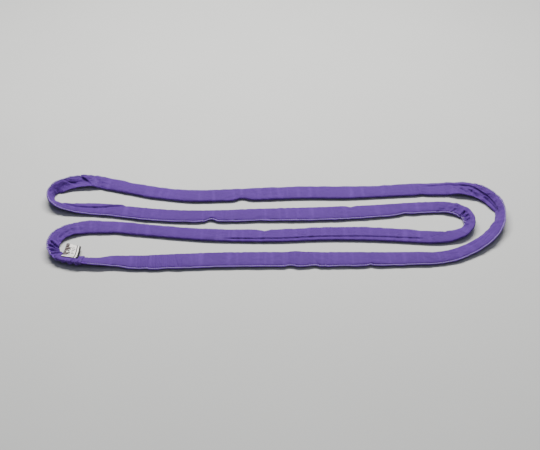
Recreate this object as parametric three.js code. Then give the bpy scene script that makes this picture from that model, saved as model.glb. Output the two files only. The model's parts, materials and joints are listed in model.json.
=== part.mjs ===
// An endless round sling: one loop of load-bearing core yarn inside a loose woven sleeve,
// laid on a flat surface in a C of four side-by-side runs. The sleeve's two ends meet under a
// sewn cuff, which also carries the label. Units are millimetres, +Z up, +X along the runs.
// The origin is under the middle of the sling, on the surface that it lies on.

import * as THREE from 'three';

// ---- Driving dimensions ----------------------------------------------------------------
const FOLD_X = -150;            // the sling folds over on a line across its runs, here
const SLEEVE_WALL = 1.0;        // two layers of woven polyester
const CORE_WIDTH = 19;
const CORE_THICK = 5.2;
const CORE_SIDE_ROOM = 6;       // least difference between the sleeve's width and the core's
const TIE_WALL = 0.6;
const TIE_LENGTH = 7;           // along the core
const CUFF_WALL = 1.1;
const SEAM_THREAD = 0.7;        // thickness of the cuff's seam thread
const SEAM_WIDTH = 1.6;         // width of one row of seam stitches
const SEAM_SHARE = 0.2;         // of the way from the cuff's end station to the next one
const GAP = 0.3;                // left between pieces that touch

const LABEL_WIDTH = 44;         // along the sling
const LABEL_DEPTH = 43;         // from its hinge line to its free edge
const LABEL_THICK = 0.8;
const LABEL_FACE_WIDTH = 36;
const LABEL_FACE_DEPTH = 39;
const LABEL_FACE_THICK = 0.4;
const LABEL_FACE_SHIFT = -2;    // the face leaves a wider dark border on its right
const LABEL_ALONG = -3;         // its middle, from the join
const LABEL_ACROSS = 6;         // its hinge line, from the cuff's middle line
const LABEL_SLOPE = -8;         // degrees from level, down to its free edge
const LABEL_TURN = 5;           // degrees, sewn on a little askew
const MARGIN_DEPTH = 11;        // the label's edge that is sewn to the cuff
const MARGIN_LENGTH = 44;
const MARGIN_LIFT = 0.9;        // clear of the cuff, which curves a little under it
const STITCH_COUNT = 14;        // zigzags of thread across the margin
const STITCH_SWING = 3;         // to each side of the row's middle
const STITCH_WIDTH = 0.9;       // half the thread's width, measured across the row
const STITCH_HEIGHT = 0.5;

const END_STEPS = 4;            // facets round each edge of the flattened sleeve
const STATIONS_PER_SPAN = 2;    // sections between one route point and the next

// ---- Route of the sling's middle line --------------------------------------------------
// Each row: x, y, flat width, thickness, roll in degrees about the direction of travel.
// Negative roll lifts the right-hand edge. Each list starts where the one before it ends.
const ROUTE = {
  front_left: [
    [-519, -151, 30, 11.5, -20], [-486, -157, 30, 11.5, -20], [-448, -158, 34, 11.5, -16],
    [-408, -155, 40, 11.5, -6], [-345, -158, 46, 11, 0], [-263, -155, 51, 11, 0],
  ],
  outer: [
    [FOLD_X, -149, 51, 11, 0], [-40, -147, 51, 11, 0], [80, -147, 50, 11, 0],
    [200, -146, 49, 11, 0], [300, -145, 46, 11, 0], [375, -143, 44, 11, 0],
    [430, -141, 40, 11, 0], [473, -130, 39, 11, -2], [510, -112, 38, 11.5, -6],
    [545, -89, 39, 12, -12], [577, -60, 39, 12, -20], [602, -25, 37, 12, -32],
    [618, 11, 35, 12, -48], [621, 47, 34, 12, -58], [609, 84, 34, 12, -58],
    [583, 112, 35, 12, -46], [549, 128, 40, 11.5, -26], [508, 135, 46, 11, -8],
    [466, 137, 48, 11, 0], [388, 135, 47, 11, 0], [300, 128, 46, 11, 0],
    [200, 123, 49, 11, 0], [90, 123, 48, 11, 0], [-30, 117, 48, 11, 0],
  ],
  upper_bight: [
    [FOLD_X, 110, 46, 11, 0], [-235, 109, 45, 11, 0], [-320, 122, 42, 11, 0],
    [-400, 142, 42, 11, 0], [-455, 156, 39, 11, -8], [-500, 165, 35, 11, -24],
    [-541, 165, 32, 11.5, -42], [-577, 156, 31, 12, -56], [-603, 139, 31, 12, -66],
    [-617, 115, 32, 12, -70], [-616, 90, 32, 12, -62], [-600, 69, 33, 12, -42],
    [-571, 57, 35, 11.5, -20], [-535, 53, 39, 11, -6], [-490, 51, 43, 11, 0],
    [-435, 45, 43, 11, 0], [-350, 31, 45, 11, 0], [-255, 22, 44, 11, 0],
  ],
  inner: [
    [FOLD_X, 22, 44, 11, 0], [-40, 27, 46, 11, 0], [80, 30, 50, 11, 0],
    [190, 35, 50, 11, 0], [290, 43, 47, 11, 0], [372, 53, 43, 11, 0],
    [430, 57, 38, 11, 4], [470, 55, 34, 11.5, 14], [504, 44, 31, 12, 30],
    [527, 22, 30, 13, 44], [532, -4, 30, 13, 44], [522, -30, 33, 12, 28],
    [498, -49, 38, 11.5, 12], [460, -60, 40, 11, 2], [415, -61, 44, 11, 0],
    [350, -55, 46, 11, 0], [250, -48, 48, 11, 0], [130, -48, 46, 11, 0],
    [10, -55, 44, 11, 0],
  ],
  lower_bight: [
    [FOLD_X, -53, 42, 11, 0], [-235, -46, 40, 11, 0], [-330, -34, 40, 11, 0],
    [-410, -24, 42, 11, 0], [-462, -22, 43, 11, -2], [-505, -26, 40, 11.5, -10],
    [-541, -39, 33, 12, -22], [-566, -60, 31, 13, -38], [-576, -88, 31, 13, -46],
    [-571, -119, 31, 12.5, -36], [-551, -140, 30, 11.5, -20],
  ],
};
const RUN_NAMES = Object.keys(ROUTE);
const SLEEVE_NODES = {
  front_left: 'sleeve_front_left', outer: 'sleeve_outer_bight', upper_bight: 'sleeve_upper_left_bight',
  inner: 'sleeve_inner_bight', lower_bight: 'sleeve_lower_left_bight',
};
// One endless hank of yarn; the fold line divides it into four.
const CORES = {
  core_outer_bight: ['outer'], core_upper_left_bight: ['upper_bight'],
  core_inner_bight: ['inner'], core_lower_left_bight: ['lower_bight', 'front_left'],
};
// Ties that hold the hank together: run, and its route point.
const TIES = [
  ['front_left', 4], ['outer', 1], ['outer', 4], ['outer', 19], ['outer', 22],
  ['upper_bight', 1], ['upper_bight', 16], ['inner', 1], ['inner', 4], ['inner', 15],
  ['inner', 18], ['lower_bight', 2],
];

const SLEEVE_COLOUR = 0x6a5b9e;
const CORE_COLOUR = 0xe8e2d2;
const TIE_COLOUR = 0xd9d3c0;
const THREAD_COLOUR = 0x8f82bd;
const FACE_COLOUR = 0xf1eeea;
const BACKING_COLOUR = 0x1c1b1f;

const radians = THREE.MathUtils.degToRad;

// ---- The curve and its stations --------------------------------------------------------
const routeRows = RUN_NAMES.flatMap((name) => ROUTE[name]);
const firstRow = {};
RUN_NAMES.reduce((count, name) => {
  firstRow[name] = count;
  return count + ROUTE[name].length;
}, 0);

// Height of a rolled, flattened tube's middle when it rests on the surface.
function restHeight(width, thick, roll) {
  return thick / 2 + ((width - thick) / 2) * Math.abs(Math.sin(radians(roll)));
}

const curve = new THREE.CatmullRomCurve3(
  routeRows.map(([x, y]) => new THREE.Vector3(x, y, 0)), true, 'centripetal');

// The cuff and its seams lift the sleeve inside them off the surface, a row each way.
function cuffLift(place) {
  const rows = routeRows.length;
  const away = Math.min(place, rows - place);
  return (CUFF_WALL + SEAM_THREAD + 2 * GAP) * (1 - THREE.MathUtils.smoothstep(away, 1, 2));
}

function eased(from, to, share) {
  return from + (to - from) * THREE.MathUtils.smoothstep(share, 0, 1);
}

// The section at a place given in route rows, such as 3.5 for halfway past row 3.
function station(place) {
  const rows = routeRows.length;
  const index = Math.floor(place + 1e-9) % rows;
  const share = Math.max(0, place - Math.floor(place + 1e-9));
  const here = routeRows[index];
  const next = routeRows[(index + 1) % rows];
  const [width, thick, roll] = [2, 3, 4].map((column) => eased(here[column], next[column], share));
  const step = 0.02;
  const middle = curve.getPoint(((place + rows) % rows) / rows);
  const ahead = curve.getPoint(((place + step + rows) % rows) / rows);
  const behind = curve.getPoint(((place - step + rows) % rows) / rows);
  const along = ahead.sub(behind).normalize();
  if (Math.abs(here[0] - FOLD_X) < 1e-6 && share === 0) along.set(Math.sign(along.x), 0, 0);
  middle.z = restHeight(width, thick, roll) + cuffLift(place);
  return { middle, along, width, thick, roll };
}

function moved(base, distance) {
  return { ...base, middle: base.middle.clone().addScaledVector(base.along, distance) };
}

// All stations of one run, from its first row to the next run's first row.
function stationsOf(name) {
  const first = firstRow[name];
  const spans = ROUTE[name].length;
  const list = [];
  for (let count = 0; count <= spans * STATIONS_PER_SPAN; count += 1) {
    list.push(station(first + count / STATIONS_PER_SPAN));
  }
  return list;
}

function withEndGaps(list) {
  const ends = list.slice();
  ends[0] = moved(ends[0], GAP);
  ends[ends.length - 1] = moved(ends[ends.length - 1], -GAP);
  return ends;
}

// ---- Sections and sweeps ---------------------------------------------------------------
// Axes of a station: side is to the left of travel, rise is up, both turned by the roll.
function axesOf({ along, roll }) {
  const left = new THREE.Vector3(0, 0, 1).cross(along);
  const up = new THREE.Vector3(0, 0, 1);
  const [c, s] = [Math.cos(radians(roll)), Math.sin(radians(roll))];
  return {
    side: left.clone().multiplyScalar(c).addScaledVector(up, s),
    rise: up.clone().multiplyScalar(c).addScaledVector(left, -s),
  };
}

// A flattened tube's outline: two flats joined by half-round edges.
function ringAt(base, width, thick) {
  const { side, rise } = axesOf(base);
  const radius = thick / 2;
  const flat = width / 2 - radius;
  const ring = [];
  for (const end of [1, -1]) {
    for (let step = 0; step <= END_STEPS; step += 1) {
      const angle = Math.PI * (step / END_STEPS - end / 2);
      ring.push(base.middle.clone()
        .addScaledVector(side, end * flat + radius * Math.cos(angle))
        .addScaledVector(rise, radius * Math.sin(angle)));
    }
  }
  return ring;
}

function addBand(triangles, near, far, inward) {
  near.forEach((corner, k) => {
    const n = (k + 1) % near.length;
    const quad = [corner, near[n], far[n], far[k]];
    if (inward) quad.reverse();
    triangles.push([quad[0], quad[1], quad[2]], [quad[0], quad[2], quad[3]]);
  });
}

function addFan(triangles, ring) {
  for (let k = 1; k < ring.length - 1; k += 1) triangles.push([ring[0], ring[k], ring[k + 1]]);
}

function geometryFrom(triangles) {
  const geometry = new THREE.BufferGeometry();
  geometry.setAttribute('position', new THREE.Float32BufferAttribute(
    triangles.flatMap((corners) => corners.flatMap((corner) => corner.toArray())), 3));
  geometry.computeVertexNormals();
  return geometry;
}

// A solid bar through the stations, its section given by size(station) = [width, thick].
function barThrough(list, size) {
  const rings = list.map((base) => ringAt(base, ...size(base)));
  const triangles = [];
  for (let k = 0; k < rings.length - 1; k += 1) addBand(triangles, rings[k], rings[k + 1], false);
  addFan(triangles, rings[0].slice().reverse());
  addFan(triangles, rings[rings.length - 1]);
  return geometryFrom(triangles);
}

// An open-ended tube through the stations, with a wall outside the size that is given.
function tubeThrough(list, size, wall) {
  const inner = list.map((base) => ringAt(base, ...size(base)));
  const outer = list.map((base) => ringAt(base, ...size(base).map((length) => length + 2 * wall)));
  const triangles = [];
  for (let k = 0; k < list.length - 1; k += 1) {
    addBand(triangles, outer[k], outer[k + 1], false);
    addBand(triangles, inner[k], inner[k + 1], true);
  }
  addBand(triangles, inner[0], outer[0], false);
  addBand(triangles, outer[list.length - 1], inner[list.length - 1], false);
  return geometryFrom(triangles);
}

// ---- Sizes of the nested layers --------------------------------------------------------
const coreSize = (base) => [Math.min(CORE_WIDTH, base.width - CORE_SIDE_ROOM), CORE_THICK];
const grown = (size, by) => (base) => size(base).map((length) => length + 2 * by);
const tieSize = grown(coreSize, GAP);
const sleeveSize = (base) => [base.width - 2 * SLEEVE_WALL, base.thick - 2 * SLEEVE_WALL];
const cuffSize = (base) => [base.width + 2 * GAP, base.thick + 2 * GAP];
const seamSize = grown(cuffSize, CUFF_WALL + GAP);

// ---- Nodes -----------------------------------------------------------------------------
const sling = new THREE.Group();

function cloth(colour, roughness = 0.85) {
  return new THREE.MeshStandardMaterial({ color: colour, roughness, metalness: 0 });
}

function addNode(name, geometry, material, parent = sling) {
  const mesh = new THREE.Mesh(geometry, material);
  mesh.name = name;
  parent.add(mesh);
  return mesh;
}

function addSleeves() {
  for (const name of RUN_NAMES) {
    const list = withEndGaps(stationsOf(name));
    addNode(SLEEVE_NODES[name], tubeThrough(list, sleeveSize, SLEEVE_WALL), cloth(SLEEVE_COLOUR));
  }
}

function addCores() {
  for (const [node, runs] of Object.entries(CORES)) {
    const joined = runs.flatMap((name, k) => stationsOf(name).slice(k === 0 ? 0 : 1));
    addNode(node, barThrough(withEndGaps(joined), coreSize), cloth(CORE_COLOUR, 0.95));
  }
}

function addTies() {
  TIES.forEach(([run, row], k) => {
    const base = station(firstRow[run] + row);
    const ends = [moved(base, -TIE_LENGTH / 2), moved(base, TIE_LENGTH / 2)];
    const name = `core_tie_${String(k + 1).padStart(2, '0')}`;
    addNode(name, tubeThrough(ends, tieSize, TIE_WALL), cloth(TIE_COLOUR, 0.9));
  });
}

// A station on the straight line between two others, as the faceted pieces have it.
function between(from, to, share) {
  const mixed = (key) => from[key] + (to[key] - from[key]) * share;
  return {
    middle: from.middle.clone().lerp(to.middle, share),
    along: from.along.clone().lerp(to.along, share).normalize(),
    width: mixed('width'), thick: mixed('thick'), roll: mixed('roll'),
  };
}

// The cuff is one more layer of sleeve cloth round the meeting ends, a route row each way.
const joinPlace = firstRow.front_left;

function addCuff() {
  const rows = routeRows.length;
  const list = [-1, -0.5, 0, 0.5, 1].map((place) => station((joinPlace + place + rows) % rows));
  addNode('join_cuff', tubeThrough(list, cuffSize, CUFF_WALL), cloth(SLEEVE_COLOUR));
  const seams = { cuff_seam_left: between(list[0], list[1], SEAM_SHARE),
    cuff_seam_right: between(list[4], list[3], SEAM_SHARE) };
  for (const [name, base] of Object.entries(seams)) {
    const ends = [moved(base, -SEAM_WIDTH / 2), moved(base, SEAM_WIDTH / 2)];
    addNode(name, tubeThrough(ends, seamSize, SEAM_THREAD), cloth(THREAD_COLOUR, 0.7));
  }
}

function boxAt(size, centre) {
  return new THREE.BoxGeometry(...size).translate(...centre);
}

// One thread in a zigzag row, lying flat, centred on x and y.
function zigzagThread() {
  const pitch = (MARGIN_LENGTH - 2) / STITCH_COUNT;
  const corners = Array.from({ length: STITCH_COUNT + 1 }, (_, k) => [
    (k - STITCH_COUNT / 2) * pitch, k % 2 === 0 ? STITCH_SWING : -STITCH_SWING]);
  const shape = new THREE.Shape([
    ...corners.map(([x, y]) => new THREE.Vector2(x, y - STITCH_WIDTH)),
    ...corners.reverse().map(([x, y]) => new THREE.Vector2(x, y + STITCH_WIDTH)),
  ]);
  return new THREE.ExtrudeGeometry(shape, { depth: STITCH_HEIGHT, bevelEnabled: false });
}

function addLabel() {
  const base = moved(station(joinPlace), LABEL_ALONG);
  const { side: straightSide, rise } = axesOf(base);
  const along = base.along.clone().applyAxisAngle(rise, radians(LABEL_TURN));
  const side = straightSide.applyAxisAngle(rise, radians(LABEL_TURN));
  const cuffTop = base.thick / 2 + GAP + CUFF_WALL;

  // The sewn margin lies on the cuff, in the cuff's own tilted axes.
  const onCuff = new THREE.Group();
  onCuff.applyMatrix4(new THREE.Matrix4().makeBasis(along, side, rise).setPosition(base.middle));
  sling.add(onCuff);
  const marginHeight = cuffTop + MARGIN_LIFT + LABEL_THICK / 2;
  const marginMiddle = LABEL_ACROSS - GAP - MARGIN_DEPTH / 2;
  addNode('label_margin', boxAt([MARGIN_LENGTH, MARGIN_DEPTH, LABEL_THICK], [0, marginMiddle, marginHeight]),
    cloth(BACKING_COLOUR), onCuff);
  const stitchLevel = marginHeight + LABEL_THICK / 2 + GAP;
  addNode('label_stitching', zigzagThread().translate(0, marginMiddle, stitchLevel),
    cloth(THREAD_COLOUR, 0.7), onCuff);

  // The label itself hangs from the hinge line, sloping down to the surface.
  const hinge = base.middle.clone()
    .addScaledVector(side, LABEL_ACROSS).addScaledVector(rise, marginHeight);
  const flat = new THREE.Vector3(0, 0, 1).cross(along).normalize();
  const flap = new THREE.Group();
  flap.applyMatrix4(new THREE.Matrix4().makeBasis(along, flat, along.clone().cross(flat))
    .setPosition(hinge).multiply(new THREE.Matrix4().makeRotationX(radians(LABEL_SLOPE))));
  sling.add(flap);
  addNode('label_backing', boxAt([LABEL_WIDTH, LABEL_DEPTH, LABEL_THICK], [0, LABEL_DEPTH / 2 + GAP, 0]),
    cloth(BACKING_COLOUR), flap);
  addNode('label_face', boxAt([LABEL_FACE_WIDTH, LABEL_FACE_DEPTH, LABEL_FACE_THICK],
    [LABEL_FACE_SHIFT, LABEL_DEPTH / 2 + GAP, LABEL_THICK / 2 + GAP + LABEL_FACE_THICK / 2]),
    cloth(FACE_COLOUR, 0.5), flap);
}

addSleeves();
addCores();
addTies();
addCuff();
addLabel();

export default sling;
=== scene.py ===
import json
import math
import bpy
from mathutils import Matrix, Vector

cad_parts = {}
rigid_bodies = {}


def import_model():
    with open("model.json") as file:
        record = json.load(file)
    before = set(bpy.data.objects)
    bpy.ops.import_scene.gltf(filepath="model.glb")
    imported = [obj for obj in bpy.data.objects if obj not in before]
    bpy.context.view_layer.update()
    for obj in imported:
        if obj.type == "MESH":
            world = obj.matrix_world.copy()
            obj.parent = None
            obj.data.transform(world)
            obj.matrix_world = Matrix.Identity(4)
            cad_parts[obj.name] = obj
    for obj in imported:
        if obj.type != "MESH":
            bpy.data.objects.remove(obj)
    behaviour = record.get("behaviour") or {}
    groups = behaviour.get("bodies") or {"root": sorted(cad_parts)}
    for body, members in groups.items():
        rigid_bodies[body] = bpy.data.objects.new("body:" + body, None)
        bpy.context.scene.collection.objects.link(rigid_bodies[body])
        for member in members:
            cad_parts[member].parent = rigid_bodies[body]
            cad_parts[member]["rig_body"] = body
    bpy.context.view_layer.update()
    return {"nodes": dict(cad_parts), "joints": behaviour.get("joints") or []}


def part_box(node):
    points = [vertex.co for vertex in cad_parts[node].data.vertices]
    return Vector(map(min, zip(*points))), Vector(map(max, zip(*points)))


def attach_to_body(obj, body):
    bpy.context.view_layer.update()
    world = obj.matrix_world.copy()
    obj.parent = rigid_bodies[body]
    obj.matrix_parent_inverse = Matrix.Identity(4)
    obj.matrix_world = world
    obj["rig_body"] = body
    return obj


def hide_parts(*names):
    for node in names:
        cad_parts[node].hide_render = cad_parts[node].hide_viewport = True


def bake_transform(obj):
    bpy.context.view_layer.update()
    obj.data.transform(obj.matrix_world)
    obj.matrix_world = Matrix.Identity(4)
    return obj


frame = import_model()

from types import SimpleNamespace

import bpy
import numpy as np
from mathutils import Vector

# ---- Driving values, in metres and degrees ----
FOLD_X = -0.150  # the sling folds over on this line across its runs
FOLD_REACH = 0.014  # the sleeve's rings are closer within 1.5 times this of the fold line
FLAT_WIDTH = 0.046  # usual width of the sleeve, lying flat
CUFF_REACH = 1  # the cuff covers the join by this many route rows each way
CUFF_LIFT = 0.0024  # height that the cuff's layers add under the sleeve
FLANGE = 0.0042  # the sleeve's edge seam stands out this far from the tube
FLANGE_THICK = 0.0017
FLOOR_GAP = 0.0003  # the cloth lies this far above the floor
EDGE_STITCH_PITCH = 0.0060
EDGE_STITCH_LENGTH = 0.64 * EDGE_STITCH_PITCH
EDGE_STITCH_FROM = 0.36  # each stitch slants between these shares of the seam's reach
EDGE_STITCH_TO = 0.58
EDGE_STITCH_START = 0.046  # the edge's stitches stop this far from the join, short of the cuff
THREAD_RADIUS = 0.00075
STITCH_BOW = 0.0002  # the middle of each stitch stands up this much
RING_SPACING = 0.0027
FOLD_RING_SPACING = 0.0020
GATHERED_RING_SPACING = 0.0012
FOLDED_REACH = 3.3  # the rings are close for this many route rows before the join

# ---- Route of the sling's middle line ----
# Each row: x, y, flat width, thickness, roll in degrees about the direction of travel.
# Negative roll lifts the right-hand edge. Each list starts where the one before it ends.
ROUTE = {
    "front_left": [
        (-0.519, -0.151, 0.030, 0.0115, -20), (-0.486, -0.157, 0.030, 0.0115, -20),
        (-0.448, -0.158, 0.034, 0.0115, -16), (-0.408, -0.155, 0.040, 0.0115, -6),
        (-0.345, -0.158, 0.046, 0.011, 0), (-0.263, -0.155, 0.051, 0.011, 0),
    ],
    "outer": [
        (FOLD_X, -0.149, 0.051, 0.011, 0), (-0.040, -0.147, 0.051, 0.011, 0),
        (0.080, -0.147, 0.050, 0.011, 0), (0.200, -0.146, 0.049, 0.011, 0),
        (0.300, -0.145, 0.046, 0.011, 0), (0.375, -0.143, 0.044, 0.011, 0),
        (0.430, -0.141, 0.040, 0.011, 0), (0.473, -0.130, 0.039, 0.011, -2),
        (0.510, -0.112, 0.038, 0.0115, -6), (0.545, -0.089, 0.039, 0.012, -12),
        (0.577, -0.060, 0.039, 0.012, -20), (0.602, -0.025, 0.037, 0.012, -32),
        (0.618, 0.011, 0.035, 0.012, -48), (0.621, 0.047, 0.034, 0.012, -58),
        (0.609, 0.084, 0.034, 0.012, -58), (0.583, 0.112, 0.035, 0.012, -46),
        (0.549, 0.128, 0.040, 0.0115, -26), (0.508, 0.135, 0.046, 0.011, -8),
        (0.466, 0.137, 0.048, 0.011, 0), (0.388, 0.135, 0.047, 0.011, 0),
        (0.300, 0.128, 0.046, 0.011, 0), (0.200, 0.123, 0.049, 0.011, 0),
        (0.090, 0.123, 0.048, 0.011, 0), (-0.030, 0.117, 0.048, 0.011, 0),
    ],
    "upper_bight": [
        (FOLD_X, 0.110, 0.046, 0.011, 0), (-0.235, 0.109, 0.045, 0.011, 0),
        (-0.320, 0.122, 0.042, 0.011, 0), (-0.400, 0.142, 0.042, 0.011, 0),
        (-0.455, 0.156, 0.039, 0.011, -8), (-0.500, 0.165, 0.035, 0.011, -24),
        (-0.541, 0.165, 0.032, 0.0115, -42), (-0.577, 0.156, 0.031, 0.012, -56),
        (-0.603, 0.139, 0.031, 0.012, -66), (-0.617, 0.115, 0.032, 0.012, -70),
        (-0.616, 0.090, 0.032, 0.012, -62), (-0.600, 0.069, 0.033, 0.012, -42),
        (-0.571, 0.057, 0.035, 0.0115, -20), (-0.535, 0.053, 0.039, 0.011, -6),
        (-0.490, 0.051, 0.043, 0.011, 0), (-0.435, 0.045, 0.043, 0.011, 0),
        (-0.350, 0.031, 0.045, 0.011, 0), (-0.255, 0.022, 0.044, 0.011, 0),
    ],
    "inner": [
        (FOLD_X, 0.022, 0.044, 0.011, 0), (-0.040, 0.027, 0.046, 0.011, 0),
        (0.080, 0.030, 0.050, 0.011, 0), (0.190, 0.035, 0.050, 0.011, 0),
        (0.290, 0.043, 0.047, 0.011, 0), (0.372, 0.053, 0.043, 0.011, 0),
        (0.430, 0.057, 0.038, 0.011, 4), (0.470, 0.055, 0.034, 0.0115, 14),
        (0.504, 0.044, 0.031, 0.012, 30), (0.527, 0.022, 0.030, 0.013, 44),
        (0.532, -0.004, 0.030, 0.013, 44), (0.522, -0.030, 0.033, 0.012, 28),
        (0.498, -0.049, 0.038, 0.0115, 12), (0.460, -0.060, 0.040, 0.011, 2),
        (0.415, -0.061, 0.044, 0.011, 0), (0.350, -0.055, 0.046, 0.011, 0),
        (0.250, -0.048, 0.048, 0.011, 0), (0.130, -0.048, 0.046, 0.011, 0),
        (0.010, -0.055, 0.044, 0.011, 0),
    ],
    "lower_bight": [
        (FOLD_X, -0.053, 0.042, 0.011, 0), (-0.235, -0.046, 0.040, 0.011, 0),
        (-0.330, -0.034, 0.040, 0.011, 0), (-0.410, -0.024, 0.042, 0.011, 0),
        (-0.462, -0.022, 0.043, 0.011, -2), (-0.505, -0.026, 0.040, 0.0115, -10),
        (-0.541, -0.039, 0.033, 0.012, -22), (-0.566, -0.060, 0.031, 0.013, -38),
        (-0.576, -0.088, 0.031, 0.013, -46), (-0.571, -0.119, 0.031, 0.0125, -36),
        (-0.551, -0.140, 0.030, 0.0115, -20),
    ],
}
# In the bends the sleeve's inner edge curls up off the floor: run, first row, last row, height.
CURLS = [
    ("upper_bight", 4.5, 8.6, 0.0105), ("outer", 12.8, 17.5, 0.0090), ("inner", 6.6, 10.6, 0.0060),
    ("lower_bight", 5.0, 8.6, 0.0050),
]
ROWS = np.array([row for run in ROUTE.values() for row in run])
COUNT = len(ROWS)
FIRST = {}
for run_name, run_rows in ROUTE.items():
    FIRST[run_name] = sum(len(ROUTE[name]) for name in FIRST)


def smooth(value, low, high):
    """0 below low, 1 above high, and an S curve between them."""
    share = np.clip((value - low) / (high - low), 0, 1)
    return share * share * (3 - 2 * share)


def unit(vectors):
    return vectors / np.maximum(np.linalg.norm(vectors, axis=-1, keepdims=True), 1e-12)


def summed(steps):
    return np.concatenate([[0], np.cumsum(steps)])


def running(points):
    """Distance along a line of points, from the first point to each of them."""
    return summed(np.linalg.norm(np.diff(points, axis=0), axis=1))


# ---- The centripetal curve through the route's points, and its stations ----
def curve_points(place):
    """The closed curve at places given in route rows, on the floor plane."""
    index = np.floor(place).astype(int)
    share = (place - index)[:, None]
    p0, p1, p2, p3 = (ROWS[(index + step) % COUNT, :2] for step in (-1, 0, 1, 2))
    d0, d1, d2 = (
        np.linalg.norm(b - a, axis=1)[:, None] ** 0.5 for a, b in ((p0, p1), (p1, p2), (p2, p3))
    )
    leave = ((p1 - p0) / d0 - (p2 - p0) / (d0 + d1) + (p2 - p1) / d1) * d1
    arrive = ((p2 - p1) / d1 - (p3 - p1) / (d1 + d2) + (p3 - p2) / d2) * d1
    square = share**2
    cube = share**3
    flat = (
        p1 + leave * share + (3 * (p2 - p1) - 2 * leave - arrive) * square
        + (2 * (p1 - p2) + leave + arrive) * cube
    )
    return np.column_stack([flat, np.zeros(len(flat))])


def stations(place):
    """The sling's middle, axes and size at places in route rows. Side is to the left of travel."""
    index = np.floor(place).astype(int)
    share = (place - index)[:, None]
    here, after = ROWS[index % COUNT], ROWS[(index + 1) % COUNT]
    width, thick, roll = ((here + (after - here) * share**2 * (3 - 2 * share))[:, 2:]).T
    along = unit(curve_points(place + 0.02) - curve_points(place - 0.02))
    up = np.array([0.0, 0.0, 1.0])
    left = np.cross(up, along)
    c, s = np.cos(np.radians(roll)), np.sin(np.radians(roll))
    away = np.minimum(place, COUNT - place)
    middle = curve_points(place)
    middle[:, 2] = thick / 2 + (width - thick) / 2 * np.abs(s) + CUFF_LIFT * (1 - smooth(away, 1, 2))
    curl = np.zeros(len(place))
    for run, first, last, height in CURLS:
        start, end = FIRST[run] + first, FIRST[run] + last
        curl += height * smooth(place, start, start + 0.9) * (1 - smooth(place, end - 0.9, end))
    return SimpleNamespace(
        place=place, middle=middle, along=along, width=width, thick=thick, curl=curl, inner=-np.sign(roll),
        side=left * c[:, None] + up * s[:, None], rise=up * c[:, None] - left * s[:, None],
    )


FINE_PLACES = np.linspace(0, COUNT, 24001)
FINE_LENGTHS = running(stations(FINE_PLACES).middle)


def length_at(place):
    """Distance along the sling's middle line, in metres, from the join."""
    return np.interp(place, FINE_PLACES, FINE_LENGTHS)


def places_every(spacing):
    """Places along the whole loop, with spacing(fine places) metres between one and the next."""
    gaps = spacing(FINE_PLACES[:-1])
    steps = summed(np.diff(FINE_LENGTHS) / gaps)
    return np.interp(np.linspace(0, steps[-1], int(steps[-1]) + 1), steps, FINE_PLACES)


def ring_spacing(place):
    """Metres between the sleeve's rings: closer at the fold line and where it is gathered."""
    near_fold = np.abs(curve_points(place)[:, 0] - FOLD_X) < 1.5 * FOLD_REACH
    before_join = COUNT - place
    gathered = (before_join < FOLDED_REACH) | (place < CUFF_REACH + 0.5)
    gathered |= (place > RIBBED_ROWS[0] - 0.1) & (place < RIBBED_ROWS[1] + 0.1)
    return np.where(gathered, GATHERED_RING_SPACING, np.where(near_fold, FOLD_RING_SPACING, RING_SPACING))


# ---- Camera ----
LENS = 59.26
CAMERA_TARGET = (-0.007, -0.006, 0.0)
CAMERA_ELEVATION = 42
CAMERA_DISTANCE = 2.4


def add_camera():
    data = bpy.data.cameras.new("camera")
    data.sensor_width = 36.0
    data.lens = LENS
    camera = bpy.data.objects.new("camera", data)
    elevation = math.radians(CAMERA_ELEVATION)
    back = Vector((0, -math.cos(elevation), math.sin(elevation)))
    camera.location = Vector(CAMERA_TARGET) + back * CAMERA_DISTANCE
    camera.rotation_mode = "QUATERNION"
    camera.rotation_quaternion = (-back).to_track_quat("-Z", "Y")
    bpy.context.scene.collection.objects.link(camera)
    bpy.context.scene.camera = camera


# ---- Mesh helpers ----
def new_object(name, vertices, faces, material=None):
    mesh = bpy.data.meshes.new(name)
    mesh.from_pydata([tuple(v) for v in np.asarray(vertices, float)], [], [tuple(f) for f in faces])
    mesh.validate()
    mesh.polygons.foreach_set("use_smooth", [True] * len(mesh.polygons))
    if material is not None:
        mesh.materials.append(material)
    thing = bpy.data.objects.new(name, mesh)
    bpy.context.scene.collection.objects.link(thing)
    return thing


def grid_faces(rings, columns, start=0):
    """Quads between neighbouring rings of a tube, facing outwards."""
    i, k = np.meshgrid(np.arange(rings - 1), np.arange(columns), indexing="ij")
    n = (k + 1) % columns
    a, b = i * columns, (i + 1) * columns
    return (np.stack([a + k, b + k, b + n, a + n], axis=-1).reshape(-1, 4) + start).tolist()


def cap_faces(rings, columns):
    """One polygon over each end of a tube."""
    return [list(range(columns)), list(range(rings * columns - 1, (rings - 1) * columns - 1, -1))]


def add_weave_uv(thing, grid):
    """A UV map in metres: along the sling, and round its section. The last column has its own seam."""
    rings, columns = grid.shape[:2]
    along = running(grid.mean(1))
    around = summed(np.linalg.norm(np.roll(grid, -1, axis=1) - grid, axis=2).mean(0))
    layer = thing.data.uv_layers.new(name="weave")
    values = np.zeros((len(thing.data.loops), 2), np.float32)
    for face in thing.data.polygons:
        corners = [thing.data.loops[loop].vertex_index for loop in face.loop_indices]
        wraps = max(v % columns for v in corners) - min(v % columns for v in corners) > columns // 2
        for loop, vertex in zip(face.loop_indices, corners):
            column = vertex % columns
            at = columns if wraps and column == 0 else column
            values[loop] = along[min(vertex // columns, rings - 1)], around[at]
    layer.data.foreach_set("uv", values.ravel())


def tube(name, grid, material):
    """A closed tube through a grid's rings."""
    size = grid.shape[:2]
    thing = new_object(name, grid.reshape(-1, 3), grid_faces(*size) + cap_faces(*size), material)
    add_weave_uv(thing, grid)
    return thing


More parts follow.
